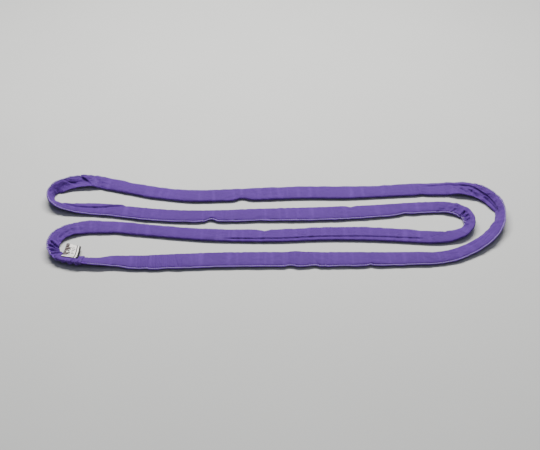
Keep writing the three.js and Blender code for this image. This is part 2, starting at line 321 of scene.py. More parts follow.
def rows_at(distance, run, *tables):
    """What tables of points or directions hold at this distance along run."""
    return [np.array([np.interp(distance, run, table[:, c]) for c in range(3)]) for table in tables]


def attach(piece, body, node):
    """The piece rides on the body and stands for the CAD node, which is hidden."""
    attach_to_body(piece, body)
    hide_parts(node)


# ---- The sleeve ----
TOP_COLUMNS = 30  # points round the seen upper side of each ring, and the under side
UNDER_COLUMNS = 16
CROWN = 2.6  # superellipse exponents of the upper and under sides
SOLE = 2.5
EDGE_HEIGHT = 0.17  # of the thickness, above the middle: the sleeve's edges ride high
WIDER = 0.0034  # the cloth stands this much wider than its CAD solid
TALLER = 0.0004  # and this much thicker


def column_shares(top, under):
    """Share of the way round for each column: 0 at the right-hand edge, 0.5 at the left-hand one."""
    return np.concatenate([np.arange(top) / top * 0.5, 0.5 + np.arange(under) / under * 0.5])


def sections(width, thick, top, under):
    """Outlines of a soft flattened tube, (across, up) for each ring, evenly spaced on each side."""
    turn = np.linspace(0, math.pi, 121)
    across = np.empty((len(width), top + under))
    up = np.empty_like(across)
    for sign, exponent, first, count in ((1, CROWN, 0, top), (-1, SOLE, top, under)):
        unit_across = -sign * np.sign(np.cos(turn)) * np.abs(np.cos(turn)) ** (2 / exponent) / 2
        unit_up = EDGE_HEIGHT + (sign / 2 - EDGE_HEIGHT) * np.abs(np.sin(turn)) ** (2 / exponent)
        for ring, (wide, high) in enumerate(zip(width, thick)):
            x, z = unit_across * wide, unit_up * high
            run = summed(np.hypot(np.diff(x), np.diff(z)))
            marks = np.arange(count) / count * run[-1]
            across[ring, first:first + count] = np.interp(marks, run, x)
            up[ring, first:first + count] = np.interp(marks, run, z)
    return across, up


def curl_lift(at, across):
    """How far a point this far across the sleeve is lifted by its inner edge's curl."""
    share = np.maximum(0, at.inner[:, None] * across / (at.width[:, None] / 2))
    return at.curl[:, None] * share**2


def points_at(at, across, up):
    """The points this far across and up from the sling's middle line, at its stations."""
    return at.middle[:, None] + across[..., None] * at.side[:, None] + up[..., None] * at.rise[:, None]


def across_and_up(at, grid):
    """How far across and up from the sling's middle line each point of a grid is."""
    offset = grid - at.middle[:, None]
    return np.einsum("rkc,rc->rk", offset, at.side), np.einsum("rkc,rc->rk", offset, at.rise)


def tube_grid(at, top, under):
    """The plain sleeve: a flattened tube, leaving room for the edge seam on its right-hand edge."""
    across, up = sections(at.width + WIDER - FLANGE, at.thick + TALLER, top, under)
    across = across + FLANGE / 2
    return points_at(at, across, up + curl_lift(at, across))


def outward(grid):
    """Unit normals of an open tube's grid, pointing out."""
    ahead = np.gradient(grid, axis=0)
    round_it = np.roll(grid, -1, axis=1) - np.roll(grid, 1, axis=1)
    return unit(np.cross(ahead, round_it))


def cubic_weights(share):
    """Weights of the four neighbours of a point that is share of the way past the second."""
    square, cube = share**2, share**3
    return (
        -0.5 * cube + square - 0.5 * share, 1.5 * cube - 2.5 * square + 1,
        -1.5 * cube + 2 * square + 0.5 * share, 0.5 * cube - 0.5 * square,
    )


def resampled(grid, from_places, to_places, shares):
    """The same surface, or field, with other rings, and columns at other shares of the way round."""
    old = grid.shape[1]
    at = shares * old
    base = np.floor(at).astype(int)
    weights = cubic_weights(at - base)
    wide = sum(grid[:, (base + k - 1) % old] * weights[k][None, :, None] for k in range(4))
    at = np.interp(to_places, from_places, np.arange(len(from_places)))
    base = np.minimum(np.floor(at).astype(int), len(from_places) - 2)
    weights = cubic_weights(at - base)
    last = len(from_places) - 1
    return sum(
        wide[np.clip(base + k - 1, 0, last)] * weights[k][:, None, None] for k in range(4)
    )


def roll_at(place):
    return np.abs(np.interp(place, np.arange(COUNT + 1), np.append(ROWS[:, 4], ROWS[0, 4])))


def from_join(place):
    """Distance from the join in route rows, below zero before it."""
    return np.where(place > COUNT / 2, place - COUNT, place)


# ---- Loose cloth by simulation ----
SIM_COLUMNS = 12  # on each side of the ring
SIM_SPACING = 0.005
SIM_FRAMES = 22
SIM_CAP = 0.0055  # the simulation moves no point of the sleeve further than this
SIM_KEPT_SHAPE = 0.2  # share that is kept of its slow change of shape along the sleeve
SIM_SMOOTH_RINGS = 13
SIM_UNEVEN = 0.0004  # the simulation starts from a tube that is this uneven
CUT_WIDER = 0.3  # share of the width pinched away in a bend that the cut cloth still has
UNDER_MIDDLE = 0.75  # the middle of the under side, as a share of the way round
HELD_SHARE = 0.07  # the cloth is held this far to each side of it
CLOTH_SETTINGS = {
    "quality": 5, "mass": 0.12, "tension_stiffness": 30, "compression_stiffness": 30,
    "shear_stiffness": 12, "bending_stiffness": 0.6, "vertex_group_mass": "held",
    "pin_stiffness": 1.0, "use_pressure": True, "uniform_pressure_force": 1.0,
}


def sim_spacing(place):
    return np.full_like(place, SIM_SPACING)


def slack(place):
    """How much more cloth than core there is: the sleeve is looser in the bends."""
    away = np.abs(from_join(place))
    return 1.04 + 0.05 * smooth(roll_at(place), 4, 40) + 0.06 * (1 - smooth(away, 1.0, 2.0))


def cut_key(cloth, at):
    """Shape key with the sleeve as it was cut: straight, and longer and wider than its space."""
    cut_width = at.width + WIDER + CUT_WIDER * np.maximum(0, FLAT_WIDTH - at.width) - FLANGE
    across, up = sections(cut_width, at.thick + TALLER, SIM_COLUMNS, SIM_COLUMNS)
    run = summed(np.diff(running(at.middle)) * slack((at.place[1:] + at.place[:-1]) / 2))
    flat = np.stack([np.broadcast_to(run[:, None], across.shape), -across, up], axis=-1)
    cloth.shape_key_add(name="Basis")
    key = cloth.shape_key_add(name="cut")
    key.data.foreach_set("co", flat.astype(np.float32).ravel())
    key.value = 0.0
    return key


def simulated_wrinkles(at):
    """How far the cloth moves from the plain tube, at coarse stations, as a grid of vectors."""
    grid = tube_grid(at, SIM_COLUMNS, SIM_COLUMNS)
    rings, columns = grid.shape[:2]
    rng = np.random.default_rng(11)
    start = grid + outward(grid) * rng.uniform(-SIM_UNEVEN, SIM_UNEVEN, (rings, columns, 1))
    cloth = new_object("cloth_work", start.reshape(-1, 3), grid_faces(rings, columns))
    key = cut_key(cloth, at)
    held = cloth.vertex_groups.new(name="held")
    for column in range(columns):
        if abs(column / columns - UNDER_MIDDLE) < HELD_SHARE:
            held.add([ring * columns + column for ring in range(rings)], 1.0, "REPLACE")
    modifier = cloth.modifiers.new("cloth", "CLOTH")
    for name, value in CLOTH_SETTINGS.items():
        setattr(modifier.settings, name, value)
    modifier.settings.rest_shape_key = key
    modifier.settings.effector_weights.gravity = 0.0
    modifier.collision_settings.use_collision = False
    modifier.collision_settings.use_self_collision = False
    modifier.point_cache.frame_end = SIM_FRAMES + 1
    for number in range(1, SIM_FRAMES + 1):
        bpy.context.scene.frame_set(number)
    shown = cloth.evaluated_get(bpy.context.evaluated_depsgraph_get())
    result = shown.to_mesh()
    points = np.zeros(len(result.vertices) * 3, np.float32)
    result.vertices.foreach_get("co", points)
    shown.to_mesh_clear()
    bpy.context.scene.frame_set(1)
    bpy.data.objects.remove(cloth)
    moved = points.reshape(grid.shape).astype(float) - grid
    window = np.hanning(SIM_SMOOTH_RINGS + 2)[1:-1]
    window /= window.sum()
    padded = np.pad(moved, ((SIM_SMOOTH_RINGS // 2,) * 2, (0, 0), (0, 0)), mode="edge")
    slow = sum(window[k] * padded[k:k + rings] for k in range(SIM_SMOOTH_RINGS))
    moved = moved - (1 - SIM_KEPT_SHAPE) * slow
    distance = np.linalg.norm(moved, axis=2)[..., None]
    return moved * SIM_CAP * np.tanh(distance / SIM_CAP) / np.maximum(distance, 1e-9)


# ---- Folds and pulls pressed into the sleeve ----
# Each fold: kind, run, depth, width, then the points it passes through, each (route row of the
# run, share across from -1 at the right-hand edge to 1 at the left-hand edge). A lap stands up
# on the left of its line and drops away on its right, and a valley is the same on both sides.
FOLDS = [
    ("lap", "upper_bight", 0.0040, 0.0026, (6.05, -0.95), (5.75, -0.4), (5.4, 0.3), (5.05, 1.1)),
    ("lap", "upper_bight", 0.0024, 0.0026, (6.5, 0.6), (6.9, 0.1), (7.3, -0.6)),
    ("lap", "upper_bight", 0.0046, 0.0026, (11.3, 1.2), (11.7, 0.8), (12.3, 0.42), (13.0, 0.20),
     (13.8, 0.12), (14.4, 0.28), (14.95, 0.70), (15.5, 1.25)),
    ("valley", "upper_bight", 0.0022, 0.0020, (10.9, -0.1), (12.2, -0.28), (13.3, -0.2)),
    ("valley", "lower_bight", 0.0056, 0.0030, (8.70, -0.6), (9.1, 1.1)),
    ("valley", "lower_bight", 0.0052, 0.0028, (8.30, -0.4), (8.60, 1.1)),
    ("valley", "lower_bight", 0.0046, 0.0028, (9.20, -0.6), (9.5, 1.1)),
    ("valley", "lower_bight", 0.0014, 0.0030, (6.2, 0.3), (7.2, 0.55)),
    ("lap", "outer", 0.0036, 0.0026, (18.7, -0.30), (17.3, -0.6), (15.9, -0.5), (14.9, -0.1),
     (13.8, 0.1), (12.4, 0.2)),
    ("lap", "outer", 0.0028, 0.0026, (15.9, 0.1), (15.2, 0.65)),
    ("lap", "outer", 0.0026, 0.0022, (16.5, 0.0), (16.0, 0.7)),
    ("lap", "outer", 0.0024, 0.0022, (17.0, -0.2), (16.6, 0.6)),
    ("valley", "outer", 0.0036, 0.0026, (14.7, 0.5), (13.8, 0.6), (13.0, 0.55)),
    ("valley", "outer", 0.0012, 0.0030, (18.75, -0.2), (18.65, 0.9)),
    ("lap", "outer", 0.0012, 0.0028, (6.1, 0.9), (6.6, 0.4), (7.1, 0.1)),
    ("valley", "outer", 0.0014, 0.0030, (8.0, 0.5), (9.0, 0.25), (10.3, 0.35)),
    ("valley", "outer", 0.0012, 0.0028, (9.2, -0.1), (10.4, -0.2), (11.4, 0.0)),
    ("valley", "inner", 0.0030, 0.0024, (7.9, -0.2), (7.75, -1.0)),
    ("valley", "inner", 0.0046, 0.0024, (8.75, 0.1), (8.7, -1.0)),
    ("valley", "inner", 0.0050, 0.0024, (9.35, 0.2), (9.3, -1.0)),
    ("valley", "inner", 0.0046, 0.0024, (9.95, 0.2), (10.0, -1.0)),
    ("valley", "inner", 0.0034, 0.0026, (10.8, 0.0), (10.8, -1.0)),
    ("lap", "inner", 0.0048, 0.0024, (12.5, -1.2), (13.2, -0.45), (13.7, 0.1), (13.95, 0.4)),
    ("lap", "inner", 0.0032, 0.0024, (18.9, 0.72), (17.6, 0.66), (16.2, 0.60), (15.0, 0.54),
     (14.1, 0.46)),
]
# Each streak is a slight crease across a run: run, its two ends as above.
STREAKS = [
    ("outer", (21.98, -0.6), (21.84, 0.6)), ("outer", (23.15, -0.5), (23.12, 0.5)),
    ("outer", (22.97, -0.7), (22.95, 0.4)), ("outer", (22.55, -0.4), (22.52, 0.7)),
    ("outer", (20.76, -0.6), (20.82, 0.8)), ("inner", (1.84, 0.2), (1.88, -0.75)),
    ("inner", (0.39, 0.55), (0.41, -0.75)), ("inner", (0.19, 0.6), (0.16, -0.7)),
    ("upper_bight", (17.86, 0.3), (17.77, -0.9)), ("upper_bight", (17.66, 0.3), (17.64, -0.9)),
    ("inner", (2.97, 0.7), (3.09, -0.2)), ("inner", (2.70, 0.6), (2.71, -0.3)),
    ("outer", (2.56, 0.85), (2.48, -0.8)), ("outer", (2.10, 0.9), (2.31, -0.8)),
    ("outer", (1.84, 0.7), (1.83, -0.8)), ("outer", (1.69, 0.85), (1.69, -0.5)),
    ("outer", (3.54, 0.8), (3.53, -0.85)), ("inner", (6.81, 0.9), (6.41, -0.7)),
    ("inner", (7.54, 0.9), (7.10, -0.6)), ("inner", (18.11, -0.65), (18.24, 0.4)),
    ("lower_bight", (2.0, -0.65), (1.89, 0.5)), ("lower_bight", (1.42, -0.4), (1.42, 0.9)),
    ("front_left", (3.57, 0.9), (3.64, -0.1)), ("front_left", (5.11, 0.85), (5.18, -0.5)),
    ("front_left", (5.28, 0.65), (5.26, -0.65)), ("front_left", (4.33, 0.8), (4.34, -0.8)),
]
LONG_FOLD = 0.05  # folds longer than this fade out at both ends
STREAK_DEPTH = 0.0015
STREAK_WIDTH = 0.0030
# Each pull: run, route row, edge (-1 right-hand, 1 left-hand), depth in, half its length.
PULLS = [
    ("upper_bight", 17.85, -1, 0.0105, 0.015), ("outer", 23.45, 1, 0.0088, 0.018),
    ("inner", 18.20, -1, 0.0060, 0.012), ("inner", 3.25, 1, 0.0050, 0.010),
    ("inner", 4.85, -1, 0.0050, 0.012), ("outer", 18.65, 1, 0.0035, 0.010),
    ("outer", 3.50, -1, 0.0030, 0.010), ("outer", 1.72, -1, 0.0032, 0.012),
    ("outer", 2.20, -1, 0.0034, 0.012), ("outer", 1.85, 1, -0.0034, 0.022),
    ("outer", 20.2, -1, 0.0022, 0.016), ("front_left", 4.95, -1, 0.0026, 0.014),
    ("lower_bight", 3.05, 1, 0.0026, 0.018), ("upper_bight", 2.2, 1, -0.0020, 0.03),
]
RIPPLES = 460
UNDER_CUFF = 0.0003  # the sleeve is pressed in this much under the cuff
GATHER_REACH = 1.62  # the cloth is gathered this many route rows before the join
GATHER_PITCH = (0.0078, 0.0108)
GATHER_DEPTH = (0.0030, 0.0042)
GATHER_WIDTH = (0.0024, 0.0030)
FAINT_GATHERS = 0.026  # the faint ones go this far on after the cuff
FAINT_DEPTH = (0.0006, 0.0014)
FAINT_WIDTH = 0.0018
RIBBED_ROWS = (3.9, 5.2)  # fine ribs cross the front run between these route rows
RIB_PITCH = (0.0044, 0.0062)
RIB_DEPTH = (0.0009, 0.0016)
RIB_WIDTH = 0.0016
ACROSS = 0.02  # folds across the sleeve reach this far out from its middle line


class Pressing:
    """Depths pressed into the sleeve, held as one number for each point of its grid."""

    def __init__(self, grid, at):
        self.at = at
        self.along = length_at(at.place)
        self.across, up = across_and_up(at, grid)
        self.topness = smooth((up - curl_lift(at, self.across)) / at.thick[:, None], -0.15, 0.30)
        self.depth = np.zeros(grid.shape[:2])

    def add(self, points, depth, width, kind="valley", all_round=False):
        """A fold along (distance along, distance across) points. A long one fades at its ends."""
        reach = 7 * width
        starts = [s for s, _ in points]
        first, last = np.searchsorted(self.along, [min(starts) - reach, max(starts) + reach])
        s, y = self.along[first:last, None], self.across[first:last]
        gap = np.full(y.shape, np.inf)
        left, beyond, run, total = np.zeros(y.shape), np.zeros(y.shape), np.zeros(y.shape), 0.0
        for (s0, y0), (s1, y1) in zip(points[:-1], points[1:]):
            ds, dy = s1 - s0, y1 - y0
            length = max(math.hypot(ds, dy), 1e-9)
            share = ((s - s0) * ds + (y - y0) * dy) / length**2
            inside = np.clip(share, 0, 1)
            here = np.hypot(s - s0 - inside * ds, y - y0 - inside * dy)
            closer = here < gap
            gap = np.where(closer, here, gap)
            left = np.where(closer, ds * (y - y0) - dy * (s - s0), left)
            beyond = np.where(closer, np.abs(share - inside) * length, beyond)
            run = np.where(closer, total + inside * length, run)
            total += length
        if kind == "lap":
            side = np.where(left > 0, -0.6 * np.exp(-gap / (4 * width)), np.exp(-gap / (1.8 * width)))
            shape = side * np.tanh(gap / (0.4 * width)) * np.exp(-((beyond / (2.5 * width)) ** 2))
        else:
            shape = np.exp(-((gap / width) ** 2)) - 0.45 * np.exp(-(((gap - 2.1 * width) / width) ** 2))
        if total > LONG_FOLD:
            shape *= smooth(np.minimum(run, total - run), 0, min((total - LONG_FOLD) / 4, 0.03))
        new = depth * shape * (1 if all_round else self.topness[first:last])
        old = self.depth[first:last]
        self.depth[first:last] = np.where(np.abs(new) > np.abs(old), new, old)

    def add_across(self, s, lean, depth, width, all_round=False):
        """A valley from edge to edge that leans by this much along the sling."""
        self.add([(s, -ACROSS), (s + lean, ACROSS)], depth, width, all_round=all_round)

    def taken(self):
        """The depths so far, leaving none."""
        depth, self.depth = self.depth, np.zeros_like(self.depth)
        return depth

    def line(self, run, points):
        places = np.array([FIRST[run] + row for row, _ in points])
        halves = np.interp(places, self.at.place, self.at.width) / 2
        return [(s, share * half) for s, (_, share), half in zip(length_at(places), points, halves)]


def press_folds(pressing):
    for kind, run, depth, width, *points in FOLDS:
        pressing.add(pressing.line(run, points), depth, width, kind)


def press_streaks(pressing):
    for run, *points in STREAKS:
        pressing.add(pressing.line(run, points), STREAK_DEPTH, STREAK_WIDTH, "lap")


def press_gathers(pressing):
    """Crowded folds all round the sleeve where it goes into the cuff, and faint ones where it comes out."""
    rng = np.random.default_rng(5)
    s = length_at(COUNT - CUFF_REACH)
    start = length_at(COUNT - GATHER_REACH)
    edge = s
    while s > start:
        s -= rng.uniform(*GATHER_PITCH)
        fade = smooth(s, start, start + 0.6 * (edge - start))
        lean = rng.uniform(-0.006, 0.006)
        depth = (0.3 + 0.7 * fade) * rng.uniform(*GATHER_DEPTH)
        pressing.add_across(s, lean, depth, rng.uniform(*GATHER_WIDTH), all_round=True)
    s = edge = length_at(CUFF_REACH)
    while s < edge + FAINT_GATHERS:
        s += rng.uniform(*GATHER_PITCH)
        fade = 1 - smooth(s, edge, edge + 0.030)
        lean = rng.uniform(-0.004, 0.004)
        pressing.add_across(s, lean, fade * rng.uniform(*FAINT_DEPTH), FAINT_WIDTH, all_round=True)


def press_ribs(pressing):
    """Fine ribs across the front run, where its cloth is bunched up a little."""
    rng = np.random.default_rng(21)
    start, end = length_at(np.array(RIBBED_ROWS))
    s = start
    while s < end:
        fade = smooth(s, start, start + 0.02) * (1 - smooth(s, end - 0.03, end))
        lean = rng.uniform(-0.003, 0.003)
        pressing.add_across(s, lean, (0.3 + 0.7 * fade) * rng.uniform(*RIB_DEPTH), RIB_WIDTH)
        s += rng.uniform(*RIB_PITCH)


def press_ripples(pressing):
    """Slight dents and swells all along, more of them in the bends."""
    rng = np.random.default_rng(8)
    along, at = pressing.along, pressing.at
    bent = smooth(roll_at(at.place), 3, 30)
    for _ in range(RIPPLES):
        s = rng.uniform(0.02, along[-1] - 0.02)
        here = np.interp(s, along, bent)
        wide = np.interp(s, along, at.width) / 2
        centre, long = rng.uniform(-0.9, 0.9) * wide, rng.uniform(0.25, 0.9) * wide
        angle = rng.normal(math.pi / 2, 0.5) if rng.random() < 0.7 else rng.normal(0, 0.25)
        ds, dy = long * math.cos(angle), long * math.sin(angle)
        depth = rng.uniform(0.0002, 0.0008) * (1 + 0.8 * here) * rng.choice([1, -1])
        width = rng.uniform(0.003, 0.006)
        if rng.random() < 0.42 + 0.58 * here:
            pressing.add([(s - ds, centre - dy), (s + ds, centre + dy)], depth, width)


def pressed(grid, at):
    """The sleeve with its folds, streaks, gathers, ribs, ripples and pulled-in edges."""
    pressing = Pressing(grid, at)
    depth = 0
    for press in (press_folds, press_streaks, press_gathers, press_ribs, press_ripples):
        press(pressing)
        depth = depth + pressing.taken()
    away = np.abs(from_join(at.place))[:, None]
    depth = depth * smooth(away, CUFF_REACH, CUFF_REACH + 0.1)
    depth = depth + UNDER_CUFF * (away < CUFF_REACH + 0.05)
    moved = grid - outward(grid) * depth[..., None]
    half = at.width[:, None] / 2
    for run, row, edge, depth_in, half_length in PULLS:
        s = length_at(FIRST[run] + row)
        bell = np.exp(-(((pressing.along - s) / half_length) ** 2))[:, None]
        near_edge = smooth(pressing.across * edge / half, 0.1, 1.0)
        moved = moved - at.side[:, None, :] * (edge * depth_in * bell * near_edge)[..., None]
    return moved


def on_the_floor(grid, level=FLOOR_GAP):
    """Cloth that would pass through the floor lies on it instead."""
    height = grid[..., 2]
    grid[..., 2] = np.maximum(height, np.maximum(level + 0.02 * (height - level), level * 0.5))
    return grid


def make_sleeve_grid(at):
    grid = tube_grid(at, TOP_COLUMNS, UNDER_COLUMNS)
    coarse = stations(places_every(sim_spacing))
    shares = column_shares(TOP_COLUMNS, UNDER_COLUMNS)
    wrinkles = resampled(simulated_wrinkles(coarse), coarse.place, at.place, shares)
    grid = grid + wrinkles * smooth(np.abs(from_join(at.place)), CUFF_REACH, 1.3)[:, None, None]
    return on_the_floor(pressed(grid, at))


def bend_at_fold(piece):
    """Bakes the piece's transform into its mesh."""
    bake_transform(piece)


# ---- Edge seam and its stitches ----
def right_edge(grid):
    """The tube's right-hand edge: its points, the way out from it, and the way up."""
    edge = grid[:, 0]
    ahead = unit(np.gradient(edge, axis=0))
    out = edge - grid.mean(axis=1)
    out = unit(out - ahead * (out * ahead).sum(axis=1, keepdims=True))
    return edge, out, np.cross(ahead, out)


def flange_grid(grid, at):
    """The two layers of cloth sewn together along the sleeve's right-hand edge, a little wavy."""
    edge, out, up = right_edge(grid)
    run = length_at(at.place)
    wave = 0.0005 * np.sin(run * 150 + 1.5 * np.sin(run * 31)) + 0.0004 * np.sin(run * 61)
    reach = FLANGE * (1 + 0.10 * np.sin(run * 97 + np.sin(run * 23)))
    half = FLANGE_THICK / 2
    outline = [(-0.25, 0.9), (0.25, 0.95), (0.7, 0.85), (0.93, 0.65), (1.0, 0.0),
               (0.93, -0.65), (0.7, -0.85), (0.25, -0.95), (-0.25, -0.9)]
    columns = []
    for share, height in outline:
        lift = wave * max(share, 0) + height * half
        columns.append(edge + out * (share * reach)[:, None] + up * lift[:, None])
    return np.stack(columns, axis=1), wave


def thread_bar(start, end, normal, radius):
    """One stitch: a short bowed bar of thread with six sides, as vertices and faces."""
    across = np.cross(unit(end - start), normal)
    rings = []
    for share, size in ((0, 0.45), (0.2, 0.95), (0.5, 1.0), (0.8, 0.95), (1, 0.45)):
        centre = start + (end - start) * share + normal * STITCH_BOW * math.sin(math.pi * share)
        rings.append([
            centre + radius * size * (math.cos(a) * across + math.sin(a) * normal)
            for a in (math.pi / 3 * k for k in range(6))
        ])
    return np.array(rings).reshape(-1, 3), grid_faces(5, 6) + cap_faces(5, 6)


def joined_bars(name, bars, material):
    """Many stitches as one piece."""
    faces, count = [], 0
    for points, quads in bars:
        faces += [[v + count for v in face] for face in quads]
        count += len(points)
    return new_object(name, np.concatenate([points for points, _ in bars]), faces, material)


def edge_stitches(grid, at, wave):
    """Running stitches on both faces of the edge seam, each slanted a little outwards."""
    edge, out, up = right_edge(grid)
    run = length_at(at.place)
    bars = []
    number = int((run[-1] - 2 * EDGE_STITCH_START) / EDGE_STITCH_PITCH)
    for face_side in (1, -1):
        for k in range(number):
            s = EDGE_STITCH_START + (k + 0.25 * (face_side < 0)) * EDGE_STITCH_PITCH
            ends = []
            for t, share in ((s, EDGE_STITCH_FROM), (s + EDGE_STITCH_LENGTH, EDGE_STITCH_TO)):
                point, way_out, way_up = rows_at(t, run, edge, out, up)
                lift = np.interp(t, run, wave) * share + face_side * FLANGE_THICK * 0.47
                ends.append(point + way_out * FLANGE * share + way_up * lift)
            bars.append(thread_bar(*ends, way_up * face_side, THREAD_RADIUS))
    return bars


# ---- Core yarn, its ties, and the cuff over the join ----
CORE_WIDTH = 0.019
CORE_THICK = 0.0056
CORE_SIDE_ROOM = 0.006  # least difference between the sleeve's width and the core's
CORE_CLEARANCE = 0.0010
CORE_CHECKED_RINGS = 3  # the core keeps clear of the cloth this many rings each way
CORE_COLUMNS = 18  # on each side of the ring
CORE_STRANDS = 9
CORE_LOBES = 0.12  # share of the core's height that its strands stand up
CORE_TWIST = 14  # radians of twist for each metre along it
CORE_LEAST = 0.0004  # the core is at least this thick
TIE_WALL = 0.0006
TIE_LENGTH = 0.007
TIE_GAP = 0.0003
TIE_RIBS = 0.00012
TIE_RINGS = 7
# Ties that hold the hank together: run, and its route row.
TIES = [
    ("front_left", 4), ("outer", 1), ("outer", 4), ("outer", 19), ("outer", 22),
    ("upper_bight", 1), ("upper_bight", 16), ("inner", 1), ("inner", 4), ("inner", 15),
    ("inner", 18), ("lower_bight", 2),
]
CUFF_WALL = 0.0011
CUFF_RING_SPACING = 0.0010
CUFF_ROOM = 0.0004  # between the sleeve and the cuff
CUFF_NOSE = 0.0050  # the cuff reaches out round the edge seam over this much of its outline
CUFF_RIDGES = (0.0078, 0.0104)  # from one gathered ridge to the next
RIDGE_LEAN = (0.0026, 0.0048)
RIDGE_HEIGHT = (0.0026, 0.0040)
RIDGE_WIDTH = 0.0025
RIDGES_INSET = 0.004
CUFF_HEM = 0.0050  # the cloth is folded double this far in from each end
CUFF_HEM_RISE = 0.0007  # and stands up this much more there
CUFF_UPPER_SIDE = 0.012  # cuff cloth above this height is on its upper side
CUFF_INSIDE_LOWEST = 0.0010  # the cuff's inner surface stays this far above the floor
CUFF_SEAM_INSET = 0.0024
CUFF_STITCH_PITCH = 0.0040
CUFF_THREAD_RADIUS = 0.00042
CUFF_STITCH_LOWEST = 0.0012  # no stitches are made below this height, next to the floor


def lengths_round(ring):
    """Distance from the first column to each column of a ring, and the whole way round."""
    return running(np.concatenate([ring, ring[:1]]))


def band_shell(name, outer, inner, material):
    """An open-ended tube with a wall, from the grids of its two surfaces."""
    rings, columns = outer.shape[:2]
    count = rings * columns
    faces = grid_faces(rings, columns)
    faces += [face[::-1] for face in grid_faces(rings, columns, count)]
    for first, flip in ((0, False), (count - columns, True)):
        for k in range(columns):
            n = (k + 1) % columns
            face = [first + k, first + n, count + first + n, count + first + k]
            faces.append(face[::-1] if flip else face)
    return new_object(name, np.concatenate([outer, inner]).reshape(-1, 3), faces, material)


def core_grid(grid, at):
    """The hank of yarn: lobed, and everywhere inside the sleeve, even under its creases."""
    wide = np.minimum(CORE_WIDTH, at.width - CORE_SIDE_ROOM)
    across, up = sections(wide, np.full_like(wide, CORE_THICK), CORE_COLUMNS, CORE_COLUMNS)
    up -= EDGE_HEIGHT * CORE_THICK
    angle = math.pi * np.arange(2 * CORE_COLUMNS) / CORE_COLUMNS * CORE_STRANDS
    up *= 1 + CORE_LOBES * np.cos(angle[None] + CORE_TWIST * length_at(at.place)[:, None])
    up += curl_lift(at, across)
    cloth_across, cloth_up = across_and_up(at, grid)
    ceiling, level = np.empty_like(up), np.empty_like(up)
    for ring in range(len(up)):
        top, under = slice(0, TOP_COLUMNS + 1), slice(TOP_COLUMNS, None)
        ceiling[ring] = np.interp(across[ring], cloth_across[ring, top], cloth_up[ring, top])
        level[ring] = np.interp(across[ring], cloth_across[ring, under][::-1], cloth_up[ring, under][::-1])
    near = range(-CORE_CHECKED_RINGS, CORE_CHECKED_RINGS + 1)
    ceiling = np.min([np.roll(ceiling, step, axis=0) for step in near], axis=0) - CORE_CLEARANCE
    level = np.max([np.roll(level, step, axis=0) for step in near], axis=0) + CORE_CLEARANCE
    up = np.maximum(np.minimum(up, np.maximum(ceiling, level + CORE_LEAST)), level)
    return points_at(at, across, up)[::2]


def add_core(grid, at, looks):
    core = core_grid(grid, at)
    hank = tube("core_yarn_hank", core, looks["yarn"])
    bend_at_fold(hank)
    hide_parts("core_outer_bight", "core_upper_left_bight", "core_inner_bight",
                "core_lower_left_bight")
    run = length_at(at.place)[::2]
    for number, (name, row) in enumerate(TIES, 1):
        marks = length_at(FIRST[name] + row) + np.linspace(-TIE_LENGTH / 2, TIE_LENGTH / 2, TIE_RINGS)
        index = np.clip(np.searchsorted(run, marks), 1, len(run) - 1)
        share = ((marks - run[index - 1]) / (run[index] - run[index - 1]))[:, None, None]
        rings = core[index - 1] * (1 - share) + core[index] * share
        out = outward(rings)
        ribs = TIE_RIBS * np.cos(math.pi * np.arange(TIE_RINGS))[:, None, None]
        tie = band_shell(f"core_tie_tape_{number:02d}", rings + out * (TIE_GAP + TIE_WALL + ribs),
                         rings + out * TIE_GAP, looks["tie"])
        node = f"core_tie_{number:02d}"
        attach(tie, frame["nodes"][node]["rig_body"], node)


def cuff_rings(grid, at):
    """The sleeve's rings under the cuff, in order through the join, at an even close spacing."""
    late, early = at.place >= COUNT - CUFF_REACH, at.place <= CUFF_REACH
    rings = np.concatenate([grid[late], grid[early][1:]])
    run = running(rings.mean(axis=1))
    marks = np.linspace(0, run[-1], int(run[-1] / CUFF_RING_SPACING))
    return resampled(rings, run, marks, column_shares(TOP_COLUMNS, UNDER_COLUMNS)), marks


def in_label_margin(points):
    """1 under the label's sewn margin, and 0 away from it."""
    low, high = (np.array(corner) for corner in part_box("label_margin"))
    middle, size = (low + high) / 2, (high - low) / 2
    over = np.abs(points - middle)[..., :2] / (size[:2] - 0.001)
    return (1 - smooth(over.max(axis=-1), 1.0, 1.45)) * (points[..., 2] > CUFF_UPPER_SIDE)


def pressed_by_label(points):
    """Cloth under the label's sewn margin and its hinge lies flat against them."""
    shape = LabelShape()
    for axes, first, last in ((shape.margin_axes, -MARGIN_DEPTH / 2, MARGIN_DEPTH / 2 + 0.001),
                              (shape.flap_axes, -LABEL_DEPTH / 2 - 0.004, -LABEL_DEPTH / 2 + 0.012)):
        middle, along, across, normal = axes
        u, v, height = ((points - middle) @ direction for direction in (along, across, normal))
        over = (np.abs(u) < LABEL_WIDTH / 2 + 0.0004) & (v > first) & (v < last)
        points = points - normal * (over * np.maximum(0, height - UNDER_LABEL))[..., None]
    return points


